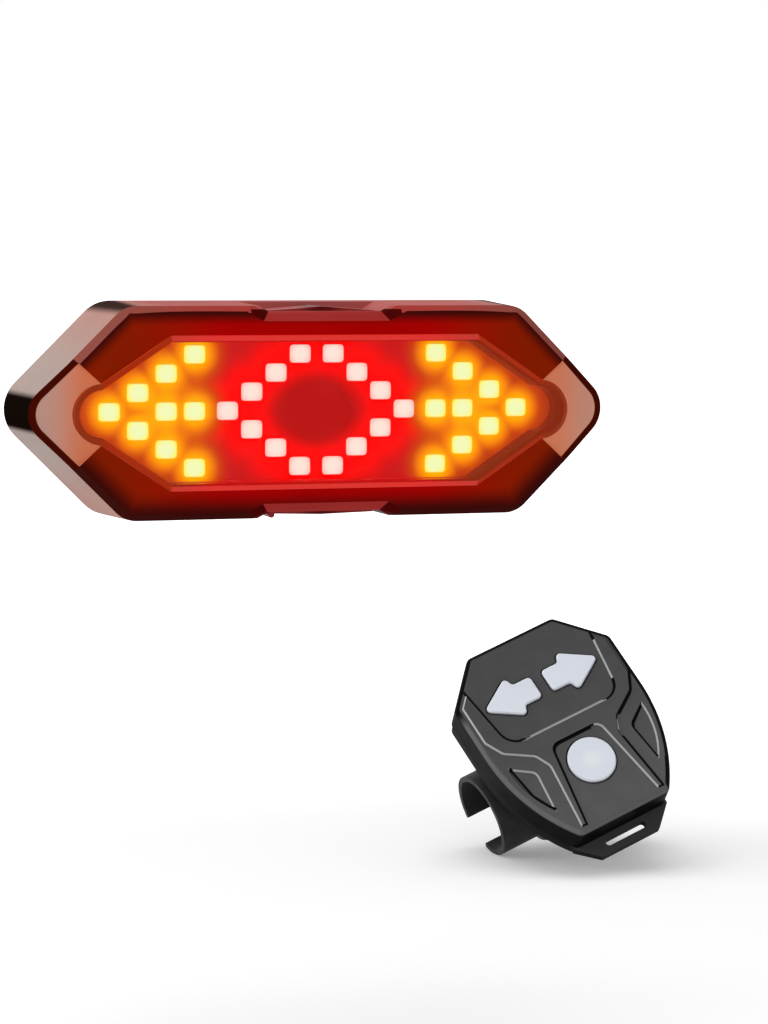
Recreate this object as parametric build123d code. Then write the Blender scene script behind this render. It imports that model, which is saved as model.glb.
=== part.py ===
from build123d import *
from math import cos, hypot, radians, sin
import os

# A bicycle turn signal light: a rear lamp on its seatpost bracket, and the
# handlebar remote that works it. Millimetres. The origin is on the seatpost's
# axis, +Z runs up the seatpost, and the lamp's face looks along -Y.

# Tubes of the bicycle that the two units clamp
post_radius = 15.8
bar_radius = 11.1

# Fits
slide_gap = 0.3
key_gap = 0.25
seat_gap = 0.1
rubber_gap = 0.05
thread_gap = 0.05
overrun = 5.0

# Lamp outline, a long hexagon with sharp corners before rounding
lamp_half_height = 23.2
lamp_shoulder_x = 44.9
lamp_tip_x = 68.2
lamp_corner_radius = 6.5

# Front shell
shell_depth = 22.5
shell_wall = 2.0
shell_flare = 1.8
shell_top_flare = 0.6
shell_skin = 3.2
rim_bevel = 1.5
boss_radius = 2.8
screw_x = 46.0
screw_y_share = 0.647
pilot_into_skin = 0.9

# End facets, cut into the front face outside the window
facet_corner_x = 55.2
facet_corner_y_share = 0.466
facet_depth = 3.8
facet_backing = 2.2

# Notches at the middle of the top and bottom edges
notch_half_width = 12.8
notch_depth = 1.2
notch_flare = 2.2
notch_bevel = 2.1
notch_front_half_width = 14.4
notch_length = 16.6

# Window lens
window_half_height_share = 0.728
window_shoulder_x = 35.1
window_end_x = 50.6
window_end_y_share = 0.39
window_tip_x = 56.5
window_rise = 0.9
window_bevel = 1.3
window_flange = 1.4
window_flange_depth = 0.8
window_thickness = 2.2
window_wall = 1.5

# Light mask, lens caps and LEDs
mask_depth = 8.0
mask_plate = 2.5
cell_width = 4.9
cell_height_share = 0.988
cell_corner = 0.9
cell_gap = 0.1
cap_sink = 0.1
diamond_reach = 20.4
diamond_pitch_x = 5.53
arrow_reach = 47.0
arrow_pitch_x = 6.38
row_pitch_share = 0.2456
rows_from_middle = 3
hexagon_half_width = 8.8
hexagon_flat_half_width = 4.9
hexagon_half_height_share = 0.408
hexagon_depth = 0.5
led_width = 3.5
led_height_share = 0.675
led_thickness = 1.4

# Lamp circuit board and what it carries
board_thickness = 1.6
board_inset = 4.2
switch_width = 6.0
switch_depth = 3.5
switch_height = 4.0
plunger_radius = 1.0
plunger_height = 0.8
port_width = 9.0
port_thickness = 3.2
port_length = 7.3
port_wall = 0.3
radio_width = 12.0
radio_height = 9.0
radio_thickness = 2.4
radio_x = 31.0

# Battery
battery_width = 48.0
battery_height_share = 0.6
battery_thickness = 7.0
battery_corner = 1.5
foam_thickness = 0.8
rib_wall = 1.2
rib_height = 4.0

# Power button
button_width = 24.2
button_depth = 11.0
button_end_rise = 0.1
button_peak_rise = 1.0
button_flange = 0.8
button_flange_thickness = 0.8
button_travel = 0.5
button_stem_radius = 1.5
button_front_land = 4.4

# Charge port cover
cover_width = 24.0
cover_thickness = 0.9
cover_peak = 0.7
cover_depth = 12.0
cover_bead_radius = 0.7
plug_width = 7.0
plug_thickness = 2.0
plug_length = 2.4
port_hole_gap = 0.4

# Rear cover
cover_shell_depth = 5.5
cover_step = 0.6
cover_bevel = 3.0
cover_wall = 1.2
cover_floor = 2.0
lip_height = 2.0
seal_inset = 0.4
seal_width = 0.9
seal_depth = 0.7

# Screws
screw_shank_radius = 1.0
screw_head_radius = 1.9
screw_head_height = 1.4
screw_hole_radius = 1.3
drive_radius = 0.7
drive_depth = 0.6

# Bracket, its rail and the socket on the rear cover
bracket_face_y = 21.0
bracket_height = 32.0
bracket_corner = 2.4
saddle_tip_y = 7.5
pad_thickness = 2.0
pad_height = 30.0
pad_half_angle = 61.0
rail_neck = 7.0
rail_head = 9.2
rail_depth = 4.2
rail_height = 26.0
rail_edge = 0.8
socket_half_width = 13.5
socket_depth = 5.0
socket_cap = 3.4
socket_edge = 1.2

# Straps, the same form round the seatpost and the handlebar
strap_thickness = 2.2
strap_lift_deg = 13.0
strap_tail = 4.2
post_strap_width = 20.0
bar_strap_width = 24.0
peg_length = 2.6
peg_width_share = 0.45
peg_lip = 1.0
peg_lip_reach = 0.9
post_peg_along = 16.5
bar_peg_along = 12.2

# Remote outline: shares of half the width and of the length
remote_half_width = 26.8
remote_length = 63.5
top_half_width_share = 0.545
shoulder_share = 0.203
side_end_share = 0.472
bottom_half_width_share = 0.56
remote_corner = 2.6

# Remote shells
parting_depth = 9.6
remote_depth = 16.0
remote_wall = 2.0
remote_skin = 2.0
remote_top_round = 1.6
base_step = 0.5
base_bevel = 2.0
base_floor = 2.0
remote_seal_width = 0.8
remote_seal_depth = 0.6

# Raised band and side recesses on the remote's face
band_rise = 0.6
band_slope = 0.4
band_edge_inset = 2.0
band_round = 2.6
panel_round = 5.5
band_outer_shares = [(0.98, 0.205), (0.944, 0.397), (0.82, 0.496),
                     (0.522, 0.576), (0.44, 0.646), (0.522, 0.985)]
band_bend_shares = (0.45, 0.8)
panel_shares = [(0.813, 0.12), (0.694, 0.479)]
key_panel_shares = [(0.3, 0.564), (0.475, 1.02)]
recess_shares = [(0.858, 0.565), (0.597, 0.64), (0.653, 0.849)]
recess_bulge_share = (0.8, 0.735)
recess_depth = 0.6
recess_slope = 0.4

# Remote keys
key_rise = 0.8
key_travel = 0.5
key_flange = 0.8
key_flange_thickness = 0.9
key_stem_radius = 1.6
key_edge = 0.35
arrow_y = 17.5
arrow_tip_x = 19.6
arrow_barb_x = 8.9
arrow_barb_half = 6.6
arrow_neck_x = 7.8
arrow_shaft_half = 3.6
arrow_tail_x = 1.9
arrow_round = 1.2
round_key_y = 44.9
round_key_radius = 7.05

# Inside the remote
remote_board_thickness = 1.2
remote_board_inset = 3.0
key_switch_side = 4.5
key_switch_height = 1.6
key_plunger_radius = 1.1
key_plunger_height = 0.5
arrow_switch_x = 11.0
coin_radius = 10.0
coin_thickness = 3.2
coin_y = 24.0
coin_edge = 0.3
clip_thickness = 0.4
clip_half_width = 4.0
clip_leg_gap = 0.15
remote_boss_radius = 2.4
remote_screw_shares = [(0.373, 0.085), (0.634, 0.764)]
remote_screw_shank = 0.8
remote_screw_head = 1.6
remote_screw_head_height = 1.2
remote_screw_hole = 1.0
remote_pilot_depth = 3.0

# Slotted ear of the remote's base
ear_root_half_width = 16.0
ear_tip_half_width = 9.7
ear_reach = 5.8
ear_root_inset = 3.0
ear_thickness = 2.4
ear_slot_length = 13.5
ear_slot_width = 2.0
ear_slot_reach = 2.6
ear_corner = 1.2

# Handlebar saddle, shim and strap
bar_axis_y = 35.0
shim_thickness = 1.6
shim_length = 54.0
shim_half_opening_deg = 25.0
saddle_floor = 1.2
saddle_length = 30.0
bar_saddle_tip_y = 5.0

# Where the remote stands beside the lamp, as the set is laid out
remote_place = (117.6, 146.2, -80.2)
remote_turn_deg = (54.0, -9.4, 20.5)

# Heights that follow the lamp's half height
screw_y = lamp_half_height * screw_y_share
facet_corner_y = lamp_half_height * facet_corner_y_share
window_half_height = lamp_half_height * window_half_height_share
window_end_y = window_half_height * window_end_y_share
row_pitch = window_half_height * row_pitch_share
cell_height = row_pitch * cell_height_share
led_height = row_pitch * led_height_share
hexagon_half_height = window_half_height * hexagon_half_height_share
battery_height = 2 * lamp_half_height * battery_height_share
pilot_radius = screw_shank_radius + thread_gap
remote_pilot_radius = remote_screw_shank + thread_gap

# Levels of the lamp, measured from the seatpost's axis towards the face
socket_face = bracket_face_y + slide_gap
cover_back = socket_face + socket_depth
seam = cover_back + cover_shell_depth
front = seam + shell_depth
skin_inside = front - shell_skin
window_top = front + window_rise
window_inside = window_top - window_thickness
flange_back = skin_inside - window_flange_depth
mask_front = front - mask_depth
board_front = mask_front - mask_plate
board_back = board_front - board_thickness
cover_inside = cover_back + cover_floor
wall_inside = lamp_half_height - shell_wall
notch_floor = lamp_half_height - notch_depth
button_z = front - button_front_land - button_depth / 2
port_z = board_back - port_thickness / 2

# Levels of the remote, measured down from its face
board_top = remote_skin + 2 * key_flange_thickness + key_travel + key_plunger_height + key_switch_height
remote_board_bottom = board_top + remote_board_thickness
base_inside = remote_depth - base_floor
shim_radius = bar_radius + shim_thickness
bar_axis_depth = remote_depth + saddle_floor + shim_radius + rubber_gap

lamp_frame = Plane.XZ.location
remote_frame = Location(remote_place, remote_turn_deg)
section_frame = Plane(origin=(0, -bar_axis_y, -bar_axis_depth), x_dir=(0, 1, 0), z_dir=(-1, 0, 0)).location


def prism(face, low, high):
    """A straight prism of a flat outline between two levels."""
    return Pos(0, 0, low) * extrude(face, amount=high - low, dir=(0, 0, 1))


def both_sides(shape):
    """The shape and its mirror image across the middle plane."""
    return shape + mirror(shape, about=Plane.YZ)


def rod(radius, low, high, x=0.0, y=0.0):
    return Pos(x, y, low) * Cylinder(radius, high - low, align=(Align.CENTER, Align.CENTER, Align.MIN))


def block(x_size, y_size, low, high, x=0.0, y=0.0):
    return Pos(x, y, low) * Box(x_size, y_size, high - low, align=(Align.CENTER, Align.CENTER, Align.MIN))


def mirrored_outline(points):
    """A closed outline from its right half, listed from the top down."""
    left = [(-x, y) for x, y in reversed(points)]
    return Polygon(*points, *left, align=None)


def pointed_outline(shoulder_x, top, tip_x, radius, inset):
    face = mirrored_outline([(shoulder_x, top), (tip_x, 0), (shoulder_x, -top)])
    face = fillet(face.vertices(), radius)
    return offset(face, -inset) if inset else face


def lamp_outline(inset=0.0):
    return pointed_outline(lamp_shoulder_x, lamp_half_height, lamp_tip_x, lamp_corner_radius, inset)


def seam_outline(inset=0.0):
    """The lamp's outline at the seam, to which its walls lean outwards, more at the ends."""
    run = lamp_tip_x - lamp_shoulder_x
    tip_x = lamp_tip_x + shell_flare * hypot(run, lamp_half_height) / lamp_half_height
    top = lamp_half_height + shell_top_flare
    shoulder_x = tip_x - run * top / lamp_half_height
    return pointed_outline(shoulder_x, top, tip_x, lamp_corner_radius + shell_flare, inset)


def window_outline(grow=0.0):
    top = Line((-window_shoulder_x, window_half_height), (window_shoulder_x, window_half_height))
    upper = Line((window_shoulder_x, window_half_height), (window_end_x, window_end_y))
    end = ThreePointArc((window_end_x, window_end_y), (window_tip_x, 0), (window_end_x, -window_end_y))
    right = upper + end + mirror(upper, about=Plane.XZ)
    face = make_face(top + right + mirror(top, about=Plane.XZ) + mirror(right, about=Plane.YZ))
    return offset(face, grow, kind=Kind.INTERSECTION) if grow else face


def screw_places(x, y):
    return [(x, y), (-x, y), (x, -y), (-x, -y)]


def notch():
    """The flared notch at the middle of the top edge."""
    side = notch_flare / notch_depth

    def section(floor, half_width):
        top = lamp_half_height + shell_flare + notch_depth
        wide = half_width + side * (top - floor)
        return mirrored_outline([(wide, top), (half_width, floor)])

    back = Pos(0, 0, front - notch_bevel) * section(notch_floor, notch_half_width)
    face = Pos(0, 0, front) * section(notch_floor - notch_bevel, notch_front_half_width)
    bevel = loft([back.face(), face.face()], ruled=True)
    channel = extrude(back, amount=notch_length - notch_bevel, dir=(0, 0, -1))
    return channel + bevel


def end_facet():
    """The wedge that leaves the right end facet, from the window's edge out past the tip."""
    inner = (window_end_x, window_end_y)
    past = ((facet_corner_x - inner[0]) * 2, (facet_corner_y - inner[1]) * 2)
    outer = (inner[0] + past[0], inner[1] + past[1])
    far = (lamp_tip_x + overrun, 0)
    face = Polygon(inner, outer, far, (outer[0], -outer[1]), (inner[0], -inner[1]), align=None)
    face -= window_outline(seat_gap)
    slope = Plane.XZ * Polygon(
        (window_end_x, front), (lamp_tip_x, front - facet_depth), (far[0], front - facet_depth),
        (far[0], front + facet_depth), (window_end_x, front + facet_depth), align=None)
    wedge = extrude(slope, amount=lamp_half_height, both=True)
    return wedge & prism(face, front - 2 * facet_depth, front + 2 * facet_depth)


def end_backing():
    """Thick plastic behind the right end facet, outside the window's flange."""
    face = lamp_outline(shell_wall / 2) - window_outline(window_flange + key_gap)
    length = lamp_tip_x - window_end_x
    face &= Pos(window_end_x + length / 2, 0) * Rectangle(length, 2 * lamp_half_height)
    return prism(face, front - facet_depth - facet_backing, skin_inside)


def front_shell():
    seam_face = Pos(0, 0, seam) * seam_outline().face()
    shell = loft([seam_face, Pos(0, 0, front) * lamp_outline().face()], ruled=True)
    shell = chamfer(shell.faces().sort_by(Axis.Z)[-1].edges(), rim_bevel)
    shell -= prism(lamp_outline(shell_wall), seam - overrun, skin_inside)
    shell += both_sides(end_backing())
    for x, y in screw_places(screw_x, screw_y):
        shell += rod(boss_radius, board_front, skin_inside, x, y)
        shell -= rod(pilot_radius, board_front, skin_inside + pilot_into_skin, x, y)
    shell -= prism(window_outline(seat_gap), skin_inside - overrun, front + overrun)
    shell -= both_sides(end_facet())
    shell -= notch() + mirror(notch(), about=Plane.XZ)
    opening = block(button_width + 2 * key_gap, overrun, button_z - button_depth / 2 - key_gap,
                    button_z + button_depth / 2 + key_gap, y=wall_inside)
    shell -= opening
    port_hole = block(port_width + 2 * port_hole_gap, overrun, port_z - port_thickness / 2 - port_hole_gap,
                      port_z + port_thickness / 2 + port_hole_gap, y=-wall_inside)
    return shell - port_hole


def window_lens():
    base = window_outline(-rubber_gap)
    lens = prism(base, flange_back, front)
    crown_top = Pos(0, 0, window_top) * window_outline(-window_bevel).face()
    lens += loft([Pos(0, 0, front) * base.face(), crown_top], ruled=True)
    lens += prism(window_outline(window_flange), flange_back, skin_inside)
    return lens - prism(window_outline(-window_wall), flange_back - overrun, window_inside)


def diamond_places():
    """Centres of the red signal cells, a diamond of four rows each way."""
    places = [(diamond_reach, 0), (-diamond_reach, 0)]
    for row in range(1, rows_from_middle + 1):
        x = diamond_reach - row * diamond_pitch_x
        places += screw_places(x, row * row_pitch)
    return places


def arrow_places():
    """Centres of the amber signal cells, an arrow at each end."""
    places = []
    for side in (1, -1):
        places.append((side * arrow_reach, 0))
        for row in range(1, rows_from_middle + 1):
            x = side * (arrow_reach - row * arrow_pitch_x)
            places += [(x, row * row_pitch), (x, -row * row_pitch)]
            if row > 1:
                places.append((x, 0))
    return places


def cells(places, low, high, grow=0.0):
    face = RectangleRounded(cell_width + 2 * grow, cell_height + 2 * grow, cell_corner + grow)
    return [prism(Pos(x, y) * face, low, high) for x, y in places]


def light_mask():
    mask = prism(window_outline(window_flange), board_front, flange_back)
    mask -= prism(window_outline(-window_wall), mask_front, flange_back + overrun)
    points = [(hexagon_flat_half_width, hexagon_half_height), (hexagon_half_width, 0)]
    points.append((hexagon_flat_half_width, -hexagon_half_height))
    mask -= prism(mirrored_outline(points), mask_front - hexagon_depth, mask_front + overrun)
    return mask - cells(diamond_places() + arrow_places(), board_front - overrun, mask_front + overrun)


def lens_caps(places):
    return Compound(children=cells(places, board_front + led_thickness, mask_front - cap_sink, -cell_gap))


def leds(places):
    chips = [block(led_width, led_height, board_front, board_front + led_thickness, x, y) for x, y in places]
    return Compound(children=chips)


def led_board():
    board = prism(lamp_outline(board_inset), board_back, board_front)
    for x, y in screw_places(screw_x, screw_y):
        board -= rod(screw_hole_radius, board_back - overrun, board_front + overrun, x, y)
    return board


def power_switch():
    """A side-pressed tact switch on the back of the board, its plunger up."""
    top = wall_inside - seat_gap - button_flange_thickness - 2 * button_travel - plunger_height
    low = board_back - switch_depth
    body = block(switch_width, switch_height, low, board_back, y=top - switch_height / 2)
    middle = (low + board_back) / 2
    plunger = Rotation(90, 0, 0) * Cylinder(plunger_radius, plunger_height)
    return body + Pos(0, top + plunger_height / 2, middle) * plunger


def power_button():
    """Silicone button: a shallow gable on top, a flange inside the wall, a stem to the switch."""
    half = button_width / 2
    low = wall_inside - seat_gap - button_flange_thickness
    peak = notch_floor + button_peak_rise
    end = notch_floor + button_end_rise
    gable = mirrored_outline([(0.0, peak), (half, end), (half, low)])
    button = prism(gable, button_z - button_depth / 2, button_z + button_depth / 2)
    depth = button_depth + 2 * button_flange
    button += block(button_width + 2 * button_flange, button_flange_thickness, button_z - depth / 2,
                    button_z + depth / 2, y=low + button_flange_thickness / 2)
    stem_z = board_back - switch_depth / 2
    stem_low = low - button_travel
    stem = Rotation(90, 0, 0) * Cylinder(button_stem_radius, low - stem_low)
    return button + Pos(0, (low + stem_low) / 2, stem_z) * stem


def charge_port():
    low = board_back - port_thickness
    y = -(wall_inside - seat_gap - port_length / 2)
    shell = block(port_width, port_length, low, board_back, y=y)
    shell = fillet(shell.edges().filter_by(Axis.Y), port_thickness / 3)
    mouth = block(port_width - 2 * port_wall, port_length, low + port_wall, board_back - port_wall,
                  y=y - 2 * port_wall)
    return shell - fillet(mouth.edges().filter_by(Axis.Y), port_thickness / 4)


def cover_hinge_x():
    return -cover_width / 2 + cover_bead_radius


def port_cover():
    """Rubber flap with its plug, hinged on a bead at its left end."""
    outer = -notch_floor - cover_thickness
    inner = -notch_floor - rubber_gap
    low = front - button_front_land - cover_depth
    high = low + cover_depth
    hinge_x = cover_hinge_x()
    right = cover_width / 2
    face = Polygon((hinge_x, inner), (right, inner), (right, outer + cover_peak / 2), (0, outer),
                   (hinge_x, outer + cover_peak / 2), align=None)
    flap = prism(face, low, high)
    bead_y = inner - cover_bead_radius
    flap += Pos(hinge_x, bead_y, low) * Cylinder(cover_bead_radius, cover_depth,
                                                 align=(Align.CENTER, Align.CENTER, Align.MIN))
    plug = block(plug_width, plug_length, port_z - plug_thickness / 2, port_z + plug_thickness / 2,
                 y=inner + plug_length / 2)
    return flap + plug


def radio_module():
    return block(radio_width, radio_height, board_back - radio_thickness, board_back, x=radio_x)


def battery_foam():
    return block(battery_width, battery_height, cover_inside, cover_inside + foam_thickness)


def battery():
    low = cover_inside + foam_thickness
    cell = block(battery_width, battery_height, low, low + battery_thickness)
    return fillet(cell.edges().filter_by(Axis.X), battery_corner)


def rail_section(grow):
    """Dovetail of the bracket's rail, seen from above, with its neck at the bracket's face."""
    neck = rail_neck + grow
    head = rail_head + grow
    return mirrored_outline([(head, -bracket_face_y - rail_depth - grow), (neck, -bracket_face_y + grow)])


def socket():
    """The block on the rear cover that slides down over the bracket's rail."""
    top = rail_height / 2 + socket_cap
    body = Pos(0, -(socket_face + cover_back) / 2, (top - rail_height / 2) / 2) * Box(
        2 * socket_half_width, socket_depth, top + rail_height / 2)
    body = chamfer(body.faces().sort_by(Axis.Y)[-1].edges(), socket_edge)
    channel = extrude(rail_section(slide_gap), amount=rail_height + overrun, dir=(0, 0, 1))
    return body - Pos(0, 0, slide_gap - rail_height / 2 - overrun) * channel


def rear_cover():
    cover = prism(seam_outline(cover_step), cover_back, seam)
    cover = chamfer(cover.faces().sort_by(Axis.Z)[0].edges(), cover_bevel)
    cover += prism(lamp_outline(shell_wall + seat_gap), seam - cover_floor, seam + lip_height)
    cover -= prism(lamp_outline(shell_wall + seat_gap + cover_wall), cover_inside, seam + overrun)
    cover -= housing_seal()
    for x, y in screw_places(screw_x, screw_y):
        cover += rod(boss_radius, cover_inside - seat_gap, board_back, x, y)
        cover -= rod(screw_hole_radius, cover_back - overrun, board_back + overrun, x, y)
        cover -= rod(screw_head_radius + seat_gap, cover_back - overrun, cover_back + screw_head_height, x, y)
    for side in (1, -1):
        y = side * (battery_height / 2 + seat_gap + rib_wall / 2)
        cover += block(battery_width, rib_wall, cover_inside - seat_gap, cover_inside + rib_height, y=y)
    return cover + lamp_frame.inverse() * socket()


def housing_seal():
    ring = lamp_outline(seal_inset) - lamp_outline(seal_inset + seal_width)
    return prism(ring, seam - seal_depth, seam)


def screw(shank, head, head_height, hole_drive, drive, length):
    """A pan-head screw along +Z, its head's top at zero."""
    body = rod(head, 0, head_height) + rod(shank, head_height, length)
    return body - rod(hole_drive, -overrun, drive)


def housing_screws():
    length = skin_inside - cover_back
    one = screw(screw_shank_radius, screw_head_radius, screw_head_height, drive_radius, drive_depth, length)
    return Compound(children=[Pos(x, y, cover_back) * one for x, y in screw_places(screw_x, screw_y)])


def tangent_point(radius, along, out=0.0, side=1):
    """A point on the strap's straight run, beside a tube centred on the origin.

    along is measured from where the strap leaves the tube, out from its inner face.
    """
    lift = radians(strap_lift_deg)
    x = (radius + out) * cos(lift) + along * sin(lift)
    y = (radius + out) * sin(lift) - along * cos(lift)
    return (side * x, y)


def saddle_section(tube, seat_radius, tip_y, face_y):
    """Section of a saddle under a tube: sloped sides for the strap, a round seat."""
    lift = radians(strap_lift_deg)
    tip = tangent_point(tube, (tip_y + tube * sin(lift)) / cos(lift), -seat_gap)
    shoulder_y = face_y - bracket_corner
    shoulder = tangent_point(tube, (shoulder_y + tube * sin(lift)) / cos(lift), -seat_gap)
    face = (shoulder[0] - bracket_corner, -face_y)
    body = mirrored_outline([(tip[0], -tip_y), shoulder, face])
    return body - Circle(seat_radius)


def peg_plane(tube, along, side):
    """Plane on the sloped side of a saddle, its normal outwards and X along the strap's width."""
    lift = radians(strap_lift_deg)
    x, y = tangent_point(tube, along, -seat_gap, side)
    return Plane(origin=(x, y, 0), x_dir=(0, 0, 1), z_dir=(side * cos(lift), sin(lift), 0))


def pegs(tube, along, strap_width):
    """Two hooked pegs that hold the strap's ends."""
    width = strap_width * peg_width_share
    result = None
    for side in (1, -1):
        height = strap_thickness + 2 * seat_gap
        neck = Pos(0, 0, height / 2 - seat_gap) * Box(width, peg_length, height + 2 * seat_gap)
        lip = Pos(0, 0, height + peg_lip / 2) * Box(width, peg_length + 2 * peg_lip_reach, peg_lip)
        peg = peg_plane(tube, along, side).location * (neck + lip)
        result = peg if result is None else result + peg
    return result


def strap(tube, along, width):
    """A silicone band round the back of the tube, slotted at each end for a peg."""
    end = along + strap_tail
    outer = tube + strap_thickness
    inside = [Line(tangent_point(tube, end, 0, -1), tangent_point(tube, 0, 0, -1)),
              ThreePointArc(tangent_point(tube, 0, 0, -1), (0, tube), tangent_point(tube, 0)),
              Line(tangent_point(tube, 0), tangent_point(tube, end))]
    outside = [Line(tangent_point(tube, end, strap_thickness, -1),
                    tangent_point(tube, 0, strap_thickness, -1)),
               ThreePointArc(tangent_point(tube, 0, strap_thickness, -1), (0, outer),
                             tangent_point(tube, 0, strap_thickness)),
               Line(tangent_point(tube, 0, strap_thickness), tangent_point(tube, end, strap_thickness))]
    ends = [Line(inside[0] @ 0, outside[0] @ 0), Line(inside[2] @ 1, outside[2] @ 1)]
    face = make_face(Curve() + inside + outside + ends)
    band = extrude(face, amount=width / 2, both=True)
    slot_width = width * peg_width_share + 2 * key_gap
    for side in (1, -1):
        slot = Box(slot_width, peg_length + 2 * key_gap, overrun * 2)
        band -= peg_plane(tube, along, side).location * slot
    return band


def seatpost_bracket():
    section = saddle_section(post_radius, post_radius + pad_thickness, saddle_tip_y, bracket_face_y)
    bracket = extrude(section, amount=bracket_height / 2, both=True)
    rail = extrude(rail_section(0.0), amount=rail_height / 2, both=True)
    rail = chamfer(rail.faces().sort_by(Axis.Z)[-1].edges(), rail_edge)
    return bracket + rail + pegs(post_radius, post_peg_along, post_strap_width)


def bracket_pad():
    ring = Circle(post_radius + pad_thickness - rubber_gap) - Circle(post_radius)
    reach = 2 * (post_radius + pad_thickness)
    half = radians(pad_half_angle)
    wedge = Polygon((0, 0), (-reach * sin(half), -reach * cos(half)), (-reach * sin(half), -2 * reach),
                    (reach * sin(half), -2 * reach), (reach * sin(half), -reach * cos(half)), align=None)
    return extrude(ring & wedge, amount=pad_height / 2, both=True)


def seatpost_strap():
    return strap(post_radius, post_peg_along, post_strap_width)


def shares_to_points(shares):
    return [(x * remote_half_width, -y * remote_length) for x, y in shares]


def remote_outline(inset=0.0):
    top = (top_half_width_share * remote_half_width, 0)
    shoulder = (remote_half_width, -shoulder_share * remote_length)
    side_end = (remote_half_width, -side_end_share * remote_length)
    bottom = (bottom_half_width_share * remote_half_width, -remote_length)
    right = Line(top, shoulder) + Line(shoulder, side_end) + TangentArc(side_end, bottom, tangent=(0, -1))
    closing = [Line(top, (-top[0], 0)), Line(bottom, (-bottom[0], bottom[1]))]
    face = make_face(Curve() + right + mirror(right, about=Plane.YZ) + closing)
    corners = [v for v in face.vertices() if abs(v.Y + side_end_share * remote_length) > remote_corner]
    face = fillet(corners, remote_corner)
    return offset(face, -inset) if inset else face


def sloped_prism(face, low, high, slope):
    """A prism whose outline shrinks by slope from low to high."""
    small = offset(face, -slope, kind=Kind.INTERSECTION)
    return loft([Pos(0, 0, low) * face.face(), Pos(0, 0, high) * small.face()], ruled=True)


def raised_band():
    """The band down both sides, which crosses under the arrow panel and forks round the round key."""
    top = [(band_outer_shares[0][0] * remote_half_width, overrun)]
    outer = mirrored_outline(top + shares_to_points(band_outer_shares))
    bends = [v for v in outer.vertices() if band_bend_shares[0] < -v.Y / remote_length < band_bend_shares[1]]
    outer = fillet(bends, band_round) & remote_outline(band_edge_inset)
    top = [(panel_shares[0][0] * remote_half_width, overrun)]
    panel = mirrored_outline(top + shares_to_points(panel_shares))
    panel = fillet(panel.vertices().sort_by(Axis.Y)[:2], panel_round)
    key_panel = mirrored_outline(shares_to_points(key_panel_shares))
    key_panel = fillet(key_panel.vertices().sort_by(Axis.Y)[-2:], band_round)
    band = sloped_prism(outer, 0, band_rise, band_slope)
    for hollow in (panel, key_panel):
        band -= sloped_prism(hollow, 0, 2 * band_rise, -2 * band_slope)
    return band


def side_recess():
    points = shares_to_points(recess_shares)
    bulge = shares_to_points([recess_bulge_share])[0]
    face = make_face(Line(points[0], points[1]) + Line(points[1], points[2])
                     + ThreePointArc(points[2], bulge, points[0]))
    corner = face.vertices().sort_by(Axis.X)[0]
    return fillet([corner], band_round)


def arrow_outline(grow=0.0):
    """The right arrow, its tip outwards."""
    points = [(arrow_tip_x, 0), (arrow_barb_x, arrow_barb_half), (arrow_neck_x, arrow_shaft_half),
              (arrow_tail_x, arrow_shaft_half), (arrow_tail_x, -arrow_shaft_half),
              (arrow_neck_x, -arrow_shaft_half), (arrow_barb_x, -arrow_barb_half)]
    face = Polygon(*points, align=None)
    face = Pos(0, -arrow_y) * fillet(face.vertices(), arrow_round)
    return offset(face, grow) if grow else face


def round_outline(grow=0.0):
    return Pos(0, -round_key_y) * Circle(round_key_radius + grow)


def key(outline, x, y):
    """A moulded key: cap, flange under the shell's skin and a stem over its switch."""
    cap = prism(outline(), -remote_skin - key_flange_thickness, key_rise)
    cap = chamfer(cap.faces().sort_by(Axis.Z)[-1].edges(), key_edge)
    flange_top = -remote_skin - seat_gap
    cap += prism(outline(key_flange), flange_top - key_flange_thickness, flange_top)
    stem_low = -remote_skin - 2 * key_flange_thickness
    return cap + rod(key_stem_radius, stem_low, flange_top, x, y)


def remote_screw_places():
    places = shares_to_points(remote_screw_shares)
    return places + [(-x, y) for x, y in places]


def remote_top_shell():
    shell = prism(remote_outline(), -parting_depth, 0)
    shell = fillet(shell.faces().sort_by(Axis.Z)[-1].edges(), remote_top_round)
    shell -= prism(remote_outline(remote_wall), -parting_depth - overrun, -remote_skin)
    shell += raised_band()
    floor = offset(side_recess(), -recess_slope)
    recess = loft([Pos(0, 0, -recess_depth) * floor.face(), side_recess().face()], ruled=True)
    shell -= both_sides(recess)
    for x, y in remote_screw_places():
        shell += rod(remote_boss_radius, -board_top, -remote_skin, x, y)
        shell -= rod(remote_pilot_radius, -board_top, remote_pilot_depth - board_top, x, y)
    windows = both_sides(prism(arrow_outline(key_gap), -remote_skin - overrun, overrun))
    return shell - windows - prism(round_outline(key_gap), -remote_skin - overrun, overrun)


def remote_board():
    board = prism(remote_outline(remote_board_inset), -remote_board_bottom, -board_top)
    for x, y in remote_screw_places():
        board -= rod(remote_screw_hole, -remote_board_bottom - overrun, overrun, x, y)
    return board


def key_switches():
    switches = []
    for x, y in ((arrow_switch_x, arrow_y), (-arrow_switch_x, arrow_y), (0, round_key_y)):
        top = -board_top + key_switch_height
        body = block(key_switch_side, key_switch_side, -board_top, top, x, -y)
        switches.append(body + rod(key_plunger_radius, top, top + key_plunger_height, x, -y))
    return Compound(children=switches)


def coin_cell():
    top = -remote_board_bottom - clip_leg_gap
    cell = rod(coin_radius, top - coin_thickness, top, y=-coin_y)
    return chamfer(cell.edges().filter_by(GeomType.CIRCLE), coin_edge)


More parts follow.
